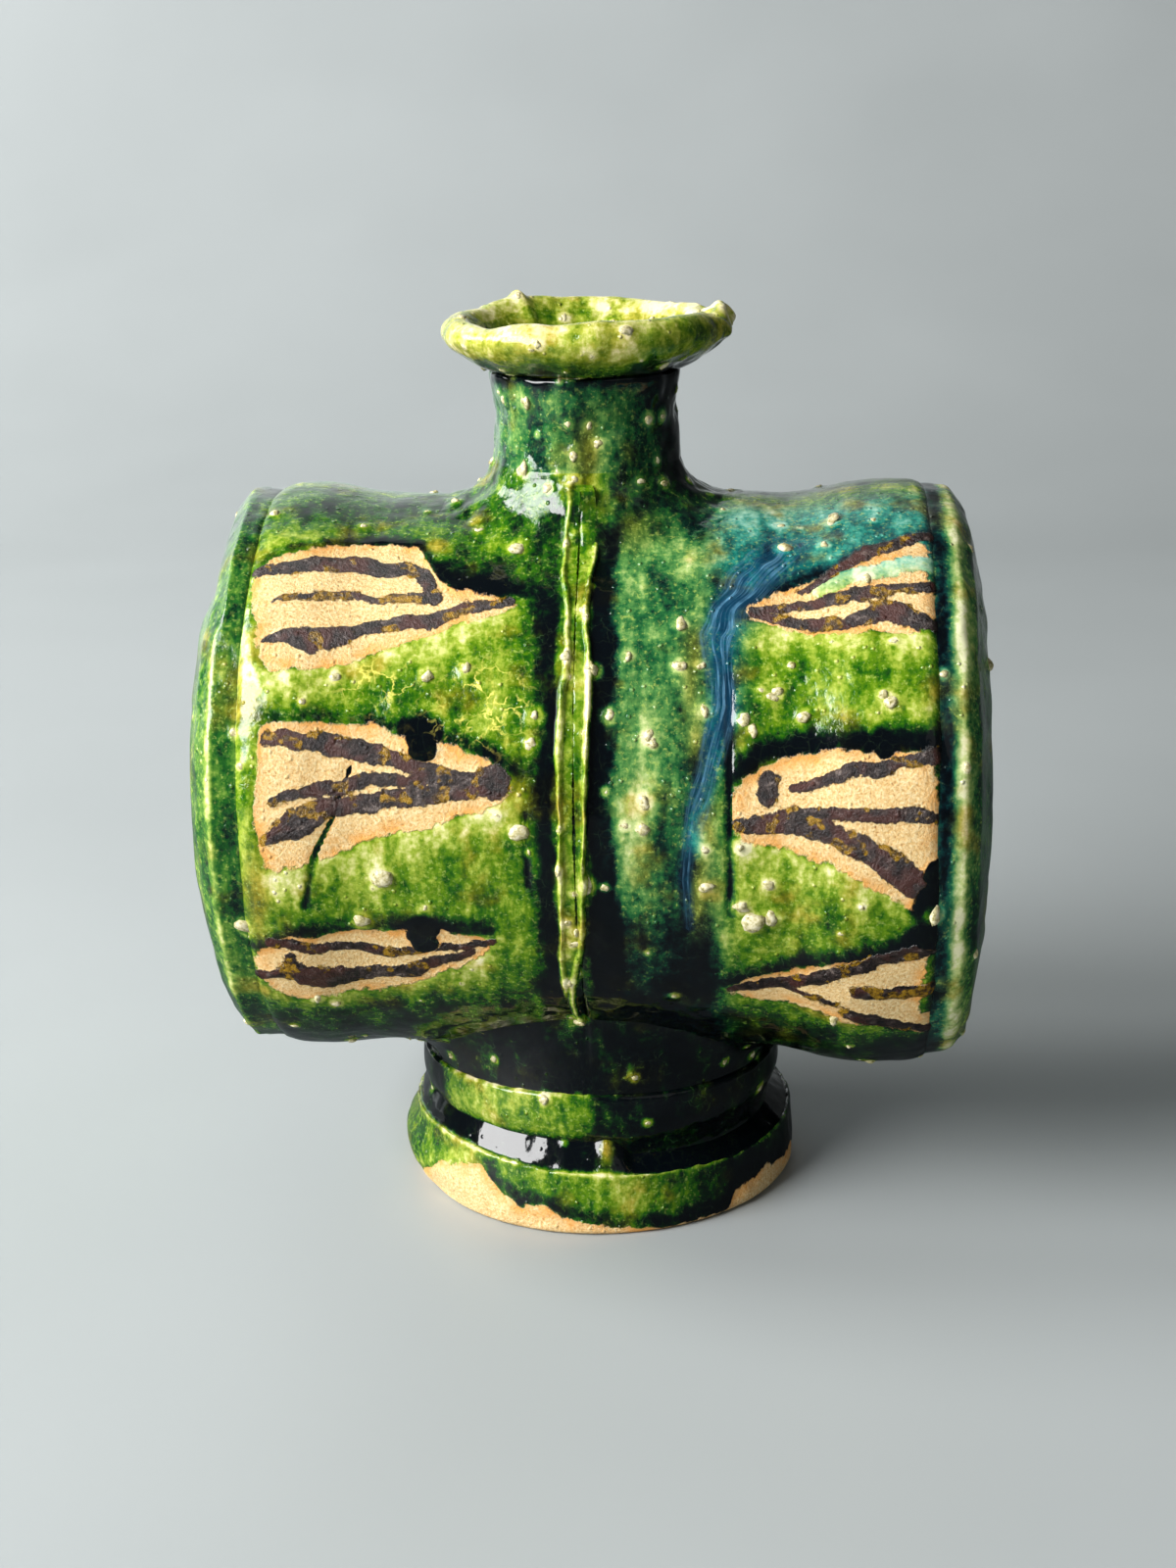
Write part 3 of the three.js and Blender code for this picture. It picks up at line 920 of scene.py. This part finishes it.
def end_disc(node):
    """The slab that closes the drum: a cove of glaze, a crisp ridge and a bevelled face."""
    path = section(node, "X")
    side = np.sign(path[:, 1].mean() - SEAM_X)
    left = side < 0
    widest, crest = path[np.argmax(path[:, 0])]
    face = path[path[:, 0] > 0.7 * widest]
    bevel, edge = face[np.argmax(face[:, 1] * side)]
    far = path[np.argmax(path[:, 1] * side), 1]
    seat = crest - 4.0 * side
    ridge = widest + (1.0 if left else -0.1)
    crest += 0.5 * side if left else 0
    fill = -0.3 if left else 0.8
    outline = np.array([
        (0.0, seat - 3 * side),
        (ridge + fill - 1.0, seat - 3 * side),
        (ridge + fill, seat - 1.6 * side),
        (ridge + 0.6 * fill, seat + 0.4 * side),
        (ridge + 0.1 * fill, crest - 1.1 * side),
        (ridge, crest - 0.2 * side),
        (ridge - 0.3, crest + 0.5 * side),
        (ridge - 4.0, crest + 3.4 * side),
        (bevel, edge),
        (0.5 * bevel, 0.3 * edge + 0.7 * far),
        (0.0, far),
    ])
    points, faces = turned(resampled(outline, 0.6, False, 2), 420, "X", closed=False)
    disc = new_object(node + "_skin", settle(points), faces)
    points = points_of(disc)
    beyond = (points[:, 0] - crest) * side
    worn = left * ease(points[:, 2] - AXIS_Z, 38, 48) * ease(-points[:, 1], -5, 25)
    points[:, 0] += 1.7 * worn * ease(beyond, -3, 1)
    filled = 1 + 0.8 * worn * between(beyond, -8, -5, -2, 1) / SHOULDER
    points[:, 1] *= filled
    points[:, 2] = AXIS_Z + (points[:, 2] - AXIS_Z) * filled
    move(disc, points)
    glaze = 0.1 * noise(points, 20, 7) + 0.1 * noise(points * (1, 1, 0.25), 5, 8)
    crisp = 0.8 + 0.5 * noise(points, 4, 9)
    if left:
        crisp *= bump(beyond, 0.1, 0.75) * (1 - 0.8 * worn)
        glaze += 0.55 - 0.38 * crisp
    else:
        # On the right the ridge is paler than its thin glaze alone would make it: partly a painted
        # highlight.
        crisp *= bump(beyond, -0.6, 1.8)
        glaze += 0.62 - 0.6 * crisp
    flat = ease(beyond, 4, 9)
    down = AXIS_Z - points[:, 2]
    runs = noise(points * (1, 1, 0.12), 4, 67) + 0.7 * noise(points * (1, 1, 0.3), 9, 68)
    glaze += flat * (0.14 * runs + 0.3 * ease(down + 14 * runs, 5, 60) - 0.08)
    lift = lumps(points) + 0.4 * crisp * noise(points, 3, 10) + 0.2 * noise(points, 6, 11)
    pool = end_pool(points)
    return finished(disc, node, lift, glaze=glaze + 0.3 * pool, teal=0.1 if left else 0.2 + 0.4 * pool)


def upright(node, sides, step=0.6):
    """A piece turned about the neck's axis, and its points."""
    outline = resampled(section(node, "Z"), step, True)
    piece = new_object(node + "_skin", *turned(outline, sides, "Z"))
    return piece, points_of(piece)


def saddle(node, bore, face_radius, face_height, edge_radius, side, sides):
    """A coil that runs smoothly from a level face into the drum's skin."""
    turn = np.linspace(0, 0.5 * np.pi, 30)
    out = face_radius + (edge_radius - face_radius) * (1 - np.cos(turn))
    flare = np.column_stack([out, 1.02 * (1 - np.sin(turn)) - 0.02])
    outline = np.vstack([[(bore, 1.0)], flare, [(edge_radius, -0.06), (bore, -0.06)]])
    outline = resampled(outline * (1, 12), 0.6, True, 1) / (1, 12)
    points, faces = turned(outline, sides, "Z")
    skin = drum_height(points[:, 0] - SEAM_X, points[:, 1], side)
    points[:, 2] = skin + (face_height - skin) * points[:, 2]
    return new_object(node + "_skin", points, faces)


def dented(points):
    """Finger marks on the neck and its coil."""
    return 0.45 * noise(points, 4.5, 61) + 0.2 * noise(points, 2.2, 62)


def neck_coil():
    """The flared coil between the drum and the neck."""
    coil = saddle("neck_saddle", NECK_BORE, NECK_BASE, COIL_HIGH[2], COIL_EDGE, 1, 340)
    points = points_of(coil)
    fields = drum_fields(points)
    fields["clay"] = fields["iron"] = OUTSIDE
    reach = reach_of(points)
    upper = ease(points[:, 2], COIL_HIGH[2] - 2, COIL_HIGH[2])
    widen(points, 1 - 0.3 * upper * ease(reach, NECK_BORE, NECK_BASE) / reach)
    move(coil, points)
    lift = lumps(points) + dented(points)
    return finished(coil, "neck_saddle", lift, **fields)


def foot_cradle():
    """The dark coil that the drum sits in, with a small crust on its front."""
    cradle = saddle("foot_saddle", RING_BORE, COLLAR_RADIUS - 1.3, CRADLE_LOW[2], CRADLE_EDGE, -1, 400)
    points = points_of(cradle)
    crust = np.exp(-((azimuth_of(points) - 14.5) / 6) ** 2 - ((points[:, 2] - 36.5) / 2.4) ** 2)
    crust *= ease(noise(points, 1.3, 60), -0.1, 0.5)
    lift = lumps(points) + 0.6 * crust
    glaze = 0.98 + 0.16 * noise(points, 9, 12) - 0.6 * crust
    return finished(cradle, "foot_saddle", lift, glaze=glaze)


def neck():
    """The short neck, drawn down a little into its coil."""
    piece, points = upright("neck_tube", 260)
    points[:, 2] -= 3 * (1 - ease(points[:, 2], NECK_LOW[2], NECK_LOW[2] + 5))
    move(piece, points)
    glaze = neck_glaze_and_shade(points) + 0.45 * bump(points[:, 2], NECK_HIGH[2], 2.2)
    lift = lumps(points) + dented(points)
    return finished(piece, "neck_tube", lift, glaze=glaze, teal=0.22, amber=neck_amber(points))


def rim():
    """The rolled lip: wavy, with a nub at the back and a lump on its right."""
    piece, points = upright("rim_collar", 420, 0.5)
    radius, azimuth = reach_of(points), azimuth_of(points)
    height = (points[:, 2] - RIM_LOW[2]) / (RIM_HIGH[2] - RIM_LOW[2])
    turn = np.radians(azimuth)
    wave = 0.5 * np.sin(2 * turn + 0.6) + 0.25 * np.sin(5 * turn + 2) + 0.1 * np.sin(9 * turn)
    lump = bump(azimuth, 98, 24) * ease(height, 0.35, 0.7)
    points[:, 2] += height * (wave + 1.5 * bump(azimuth, -143, 3.5) + 0.8 * bump(azimuth, -137, 9))
    points[:, 2] += lump * (0.4 + 1.5 * noise(points, 3.2, 16))
    widen(points, 1 + lump * (0.025 + 0.06 * noise(points, 3.6, 20)))
    move(piece, points)
    inner = radius < np.interp(height, (0, 1), (NECK_BORE + 3, 0.8 * radius.max()))
    glaze = 0.72 - 0.46 * ease(height, 0.08, 0.5) - 0.1 * bump(height, 0.95, 0.12)
    glaze += 0.16 * between(azimuth, 10, 60, 80, 120)
    back = 0.5 - 0.2 * ease(height, 0.3, 1) + 0.12 * bump(azimuth, -100, 40)
    glaze = np.where(inner, back, glaze) + 0.1 * noise(points, 5, 13) + 0.08 * noise(points, 2, 17)
    glaze -= 0.5 * lump * ease(noise(points, 2.5, 19), -0.5, 0.2)
    knobs = 0.9 * lump * noise(points, 1.8, 20)
    lift = lumps(points) * (1.5 + 2 * lump) + 0.2 * noise(points, 4, 18) + knobs
    amber = 0.3 + 0.3 * noise(points, 6, 22)
    return finished(piece, "rim_collar", lift, "pale_rim_glaze", glaze=glaze, amber=amber)


def collar():
    """The upper band of the foot, with a lit front and a ragged upper edge."""
    piece, points = upright("foot_collar", 400)
    radius, azimuth = reach_of(points), azimuth_of(points)
    height = (points[:, 2] - COLLAR_LOW[2]) / (COLLAR_HIGH[2] - COLLAR_LOW[2])
    raised = 2.2 * bump(azimuth, -12, 60) * ease(height, 0.5, 1)
    points[:, 2] += raised * ease(radius, COLLAR_RADIUS - 5, COLLAR_RADIUS - 2)
    move(piece, points)
    lit = between(azimuth, -60, -46, -8, 6) * ease(height, 0.42, 0.58)
    ledge = bump(height, 1.0, 0.035) * between(azimuth, -90, -55, -4, 22)
    ledge *= ease(noise(points, 2.5, 63), -0.7, 0.4)
    glaze = 0.95 - 0.55 * lit - 0.5 * ledge
    ragged = 0.35 * noise(points, 2.2, 64) * ease(height, 0.8, 1)
    lift = lumps(points) + ragged * between(azimuth, -58, -44, -4, 22)
    return finished(piece, "foot_collar", lift, glaze=glaze + 0.06 * noise(points, 8, 14))


# Top of the bare clay on the foot ring, as (azimuth, height)

CLAY_LINE = (
    (-180, 3), (-150, 6), (-120, 4), (-90, 2), (-70, 3), (-60, 5), (-50, 10), (-43, 12), (-34, 13),
    (-30, 10.5), (-25, 8.2), (-20, 6.5), (-13, 5.9), (-8, 4.9), (-4, 3.7), (5, 2), (28, 0.5),
    (42, 1.3), (45, 4.6), (49, 6.4), (56, 6.3), (72, 5), (100, 3), (150, 5), (180, 3),
)

# How far the flange's lip is raised or lowered, as (azimuth, height)

LIP_LINE = (
    (-180, 0.5), (-110, 1.5), (-80, 2.3), (-55, 2.7), (-36, 2.2), (-12, 0.7), (10, 0), (44, -1.2),
    (70, -1.2), (120, 0), (180, 0.5),
)


def flange():
    """The standing ring: a bulging side, an uneven lip and a steep fillet of glaze up to the collar."""
    piece, points = upright("foot_ring", 420)
    radius, azimuth = reach_of(points), azimuth_of(points)
    height = points[:, 2]
    raised = line_at(azimuth, LIP_LINE)
    outside = ease(radius, COLLAR_RADIUS, COLLAR_RADIUS + 2)
    height += raised * outside * ease(height, 4, 13)
    top = RING_HIGH[2] + raised
    inward = COLLAR_RADIUS + 2.0 - radius
    steep = 0.85 - 0.5 * between(azimuth, 7, 14, 110, 150)
    fillet = top - 1.0 + np.minimum(steep * (inward + np.sqrt(inward ** 2 + 0.4)), 7)
    filled = (height > 9) & (radius < COLLAR_RADIUS + 2.2) & (radius > RING_BORE + 2)
    height[filled] = fillet[filled]
    bulge = 1.6 * bump(height, 8, 4) - 0.9 * ease(height, 10, 15) - 2.2 * (1 - ease(height, 0.5, 5))
    widen(points, 1 + bump(azimuth, -84, 42) * outside * bulge / radius)
    move(piece, points)
    line = line_at(azimuth, CLAY_LINE)
    line += 0.9 * noise(points * (1, 1, 0), 5, 15) + 0.6 * noise(points, 2, 16)
    clay = np.where(radius > RING_BORE + 4, line - height, 20)
    beaded = between(azimuth, -40, -24, 135, 178) - 0.6 * between(-azimuth, 30, 42, 135, 178)
    beaded *= bump(clay, -1.5, 2)
    shade = between(azimuth, 12, 50, 130, 178)
    drop = np.exp(-((azimuth - 5) / 2.6) ** 2 - ((height - 19) / 3) ** 2) * filled
    glaze = 0.46 + 0.35 * beaded + 0.45 * shade + 0.1 * noise(points * (1, 1, 0.3), 5, 18)
    lip = bump(np.hypot(radius - radius.max() + 0.9, height - top), 0.2, 0.7)
    glaze -= 0.45 * lip * ease(noise(points, 2.2, 65), -0.9, 0.3)
    glaze += 0.6 * ease(COLLAR_RADIUS + 2.2 - radius, 0, 1)
    pitted = 0.25 * ease(clay, -0.3, 0.5) * ease(height, 0.3, 2)
    torn = 0.6 * noise(points, 5, 69) * ease(clay, -1, 1) * between(height, 0.2, 1.5, 11, 14)
    lift = lumps(points) + drop + 0.4 * lip * noise(points, 2, 66) + torn * outside - pitted
    return finished(piece, "foot_ring", lift, "bare_clay", glaze=glaze - 0.75 * drop, clay=clay, amber=drop)


# Edges of the seam rib, as (angle, left x, right x, left height, right height)

RIB_EDGES = (
    (-55, -3.0, 0.6, 0.0, 0.3),
    (-45, -3.0, -0.7, 0.0, 0.7),
    (-38, -3.2, -2.1, 0.0, 0.8),
    (-30, -3.4, -1.8, 0.5, 0.8),
    (-25, -3.5, -0.6, 1.1, 0.9),
    (-20, -3.4, 0.7, 1.5, 1.5),
    (-9, -3.1, 1.3, 1.5, 1.8),
    (3, -2.9, 1.9, 1.6, 1.9),
    (21, -2.8, 2.7, 1.6, 1.9),
    (31, -2.5, 3.0, 1.7, 1.8),
    (34, -1.6, 3.0, 1.2, 1.4),
    (40, -1.4, 2.7, 1.2, 1.3),
    (48, -1.8, 1.8, 1.3, 1.2),
    (57, -3.0, 2.8, 1.2, 1.1),
    (63, -2.9, 3.4, 1.1, 0.8),
    (66, -2.7, 3.2, 1.0, 0.0),
    (73, -2.1, 2.0, 0.6, 0.0),
    (77, -1.8, 1.4, 0.2, 0.0),
)


def rib(node, face):
    """Strip of clay over the seam: two pinched edges with a shallow channel between them."""
    turn, left, right, left_rise, right_rise = np.array(RIB_EDGES).T
    angle = np.linspace(turn[0], turn[-1], 440)
    across = np.linspace(-1, 1, 41)
    sway = 0.25 * noise(np.column_stack([angle, 0 * angle, 0 * angle]), 3, 41)
    start = np.interp(angle, turn, left) + sway
    end = np.interp(angle, turn, right) + sway
    middle, half = 0.5 * (start + end), 0.5 * (end - start)
    x = middle[:, None] + across[None, :] * (half + 0.7)[:, None]
    tilt = np.radians(angle)[:, None]
    rises = [np.interp(angle, turn, rise)[:, None] for rise in (left_rise, right_rise)]
    crests = [bump(x, edge[:, None], 0.8) for edge in (start, end)]
    floor = 0.42 * np.minimum(*rises) * ease(x, start[:, None] - 0.6, start[:, None])
    floor = floor * (1 - ease(x, end[:, None], end[:, None] + 0.6))
    lift = np.maximum(np.maximum(rises[0] * crests[0], rises[1] * crests[1]), floor) - 0.12
    radius = rib_base(x, tilt) + lift
    top = np.stack([SEAM_X + x, -radius * np.cos(tilt), AXIS_Z + radius * np.sin(tilt)], -1)
    inward = np.stack([0 * tilt, np.cos(tilt), -np.sin(tilt)], -1)
    rings = np.concatenate([top, (top[:, [0, -1]] + 0.8 * inward)[:, ::-1]], 1)
    count, size = rings.shape[:2]
    points = rings.reshape(-1, 3)
    row, place = np.meshgrid(np.arange(count - 1), np.arange(size), indexing="ij")
    after = (place + 1) % size
    corners = ((row, place), (row, after), (row + 1, after), (row + 1, place))
    faces = np.stack([ring * size + at for ring, at in corners], -1).reshape(-1, 4).tolist()
    faces += [list(range(size)), list(range((count - 1) * size, count * size))]
    if face == "back":
        points = points * (-1, -1, 1) + (2 * SEAM_X, 0, 0)
    piece = new_object(node + "_skin", points, faces)
    points = points_of(piece)
    crest = np.maximum(ease(rises[0], 0, 0.5) * crests[0] ** 2, ease(rises[1], 0, 0.5) * crests[1] ** 2)
    body = ease(floor, 0.1, 0.5)
    body, ragged = (np.pad(part, ((0, 0), (0, 2))).ravel() for part in (body, crest))
    thin = drum_fields(points)["glaze"] * (1 - body) + 0.41 * body
    thin = thin * (1 - ragged) + (0.2 + 0.2 * noise(points, 6, 44)) * ragged
    lift = lumps(points) + 0.32 * noise(points, 1.8, 42) * ragged
    return finished(piece, node, lift, glaze=thin + 0.1 * noise(points, 5, 43))


def rib_base(x, tilt):
    """Distance from the drum's axis to the skin under the rib, out onto the flare of the neck coil."""
    radius = drum_radius(x)
    reach = np.hypot(x, radius * np.cos(tilt))
    share = np.clip((COIL_EDGE - reach) / (COIL_EDGE - NECK_BASE), 0, 1) * (tilt > 0)
    climb = 1 - np.sqrt(1 - share ** 2)
    return radius + climb * (COIL_HIGH[2] - AXIS_Z - radius)


halves = [drum_half(node) for node in ("drum_left", "drum_right")]
discs = [end_disc(node) for node in ("end_disc_left", "end_disc_right")]
upper_pieces = [neck_coil(), neck(), rim()]
foot_pieces = [foot_cradle(), collar(), flange()]
ribs = [rib("seam_rib_front", "front"), rib("seam_rib_back", "back")]
made = halves + discs + upper_pieces + foot_pieces + ribs


# Feldspar grains in the glaze

SMALL_GRAINS = 420
DISC_GRAINS = 45
GRAIN_REACH = 5


def grain_spots():
    """Centre, direction and radius of each grain: large ones on the front, then scattered small ones."""
    random = np.random.default_rng(SEED)
    places = []
    ways = []
    for piece in made:
        points = points_of(piece)
        seen = (drum_reach(points) > SHOULDER - 8) & (points[:, 2] > 14)
        places.append(points[seen])
        ways.append(normals_of(piece)[seen])
    places, ways = np.vstack(places), np.vstack(ways)
    spots = []
    wanted = []
    for x, angle, radius in BIG_GRAINS:
        turn = math.radians(angle)
        reach = float(drum_radius(x))
        wanted.append(((SEAM_X + x, -reach * math.cos(turn), AXIS_Z + reach * math.sin(turn)), radius))
    for azimuth, height, radius in NECK_GRAINS:
        turn = math.radians(azimuth)
        wanted.append(((SEAM_X + NECK_BASE * math.sin(turn), -NECK_BASE * math.cos(turn), height), radius))
    for target, radius in wanted:
        nearest = np.argmin(np.sum((places - target) ** 2, axis=1))
        spots.append((places[nearest], ways[nearest], radius))
    bare = window_depth(*face_place(places), 0)
    for pick in random.integers(len(places), size=SMALL_GRAINS):
        if bare[pick] < 0:
            spots.append((places[pick], ways[pick], 0.45 + 0.75 * random.random() ** 2))
    for disc in discs:
        points, normals = points_of(disc), normals_of(disc)
        face = np.flatnonzero(np.abs(normals[:, 0]) > 0.9)
        reach = drum_reach(points[face])
        for pick in random.choice(face, DISC_GRAINS, p=reach / reach.sum()):
            spots.append((points[pick], normals[pick], 0.5 + 0.9 * random.random() ** 2))
    return spots


def grains(spots):
    """All the grains as lumpy little stones, half sunk in the glaze."""
    random = np.random.default_rng(SEED + 1)
    bm = bmesh.new()
    bmesh.ops.create_icosphere(bm, subdivisions=2, radius=1)
    ball = np.array([vert.co for vert in bm.verts])
    mesh_faces = np.array([[vert.index for vert in face.verts] for face in bm.faces])
    bm.free()
    points, faces = [], []
    for number, (centre, way, radius) in enumerate(spots):
        lumpy = 1 + 0.6 * noise(ball + 3.1 * number, 0.8, 51)
        squash = 1 + 0.7 * (random.random(3) - 0.5)
        stone = ball * lumpy[:, None] * squash * radius
        stone -= 0.45 * way * (stone @ way)[:, None]
        faces.append(mesh_faces + len(ball) * number)
        points.append(centre + 0.12 * radius * way + stone)
    piece = new_object("feldspar_grains", np.vstack(points), np.vstack(faces).tolist())
    piece.data.materials.append(GRAIN)
    piece.data.shade_smooth()
    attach(piece, "root")


def grain_halos(spots):
    """Raises a low collar of glaze round each grain, and stores the distance to the nearest one."""
    for piece in made:
        points = points_of(piece)
        gap = np.full(len(points), 20.0)
        for centre, _, radius in spots:
            close = np.abs(points - centre).max(axis=1) < radius + GRAIN_REACH
            away = np.sqrt(np.sum((points[close] - centre) ** 2, axis=1)) - radius
            away /= 0.4 + 0.5 * radius
            gap[close] = np.minimum(gap[close], away)
        push(piece, 0.22 * np.exp(-np.maximum(gap, 0) ** 2))
        paint(piece, grain=gap)


spots = grain_spots()
grain_halos(spots)
grains(spots)


# Floor, light and camera

def studio():
    """A plain pale floor that curves up into the backdrop. Reflections see it darker, with painted shade
    towards the right.
    """
    floor = bpy.data.materials.new("studio_grey")
    floor.use_nodes = True
    tree = floor.node_tree
    shader = tree.nodes["Principled BSDF"]
    place = tree.nodes.new("ShaderNodeTexCoord").outputs["Object"]
    tone = ramp(grainy(place, 180, 2), ((0.3, 158, 163, 163), (0.7, 163, 168, 168)))
    mirrored = add(place, "LightPath").outputs["Is Glossy Ray"]
    across, far, _ = add(place, "SeparateXYZ", {0: place}).outputs
    # In reflections the backdrop is pale on the left and dark on the right: painted shade.
    wall = blend(spread(across, -0.2, 0.5), linear(190, 196, 196), linear(84, 88, 88))
    seen = blend(spread(far, 0.2, 0.8), linear(64, 70, 72), wall)
    tree.links.new(blend(mirrored, tone, seen), shader.inputs["Base Color"])
    shader.inputs["Roughness"].default_value = 0.5
    turn = np.linspace(0, 0.5 * np.pi, 24)
    depth = np.r_[-2500, 700 + 700 * np.sin(turn), 1400]
    rise = np.r_[0, 700 * (1 - np.cos(turn)), 3000]
    points = [(x, y, z) for x in (-3000, 3000) for y, z in zip(depth, rise)]
    size = len(depth)
    faces = [(k, k + 1, k + 1 + size, k + size) for k in range(size - 1)]
    sweep = new_object("studio_sweep", np.array(points, float), faces)
    sweep.data.materials.append(floor)
    sweep.data.shade_smooth()


def lamp(name, place, target, size, power):
    data = bpy.data.lights.new(name, "AREA")
    data.shape = "ELLIPSE"
    data.size, data.size_y = size
    data.energy = power
    held = bpy.data.objects.new(name, data)
    held.location = place
    held.rotation_euler = (Vector(target) - Vector(place)).to_track_quat("-Z", "Y").to_euler()
    bpy.context.collection.objects.link(held)


def camera():
    data = bpy.data.cameras.new("camera")
    data.sensor_fit = "VERTICAL"
    data.sensor_height = 24
    data.lens = 36.06
    held = bpy.data.objects.new("camera", data)
    right = Vector((0.9976, 0.0655, -0.0230))
    up = Vector((0.0023, 0.3002, 0.9539))
    ahead = Vector((-0.0694, 0.9516, -0.2993))
    turn = Matrix((right, up, -ahead)).transposed()
    held.matrix_world = Matrix.Translation(Vector((33.4, -508.3, 250.1)) * MM) @ turn.to_4x4()
    bpy.context.collection.objects.link(held)
    bpy.context.scene.camera = held


studio()
camera()
lamp("window_left", (-1.05, -0.75, 0.86), (0, 0, 0.1), (1.13, 1.02), 46)
lamp("fill_right", (1.3, -1.5, 1.1), (0, 0, 0.1), (1.6, 1.6), 1.2)
lamp("backdrop", (-1.5, 0.2, 1.2), (-0.3, 1.4, 0.9), (1.0, 1.0), 37)

world = bpy.data.worlds.new("soft_room")
world.use_nodes = True
sky = world.node_tree
mirrored = sky.nodes.new("ShaderNodeLightPath").outputs["Is Glossy Ray"]
sky_colour = blend(mirrored, (0.85, 0.88, 0.9, 1), (0.3, 0.32, 0.34, 1))
sky.links.new(sky_colour, sky.nodes["Background"].inputs[0])
sky.nodes["Background"].inputs[1].default_value = 0.16
bpy.context.scene.world = world
bpy.context.scene.view_settings.view_transform = "Standard"
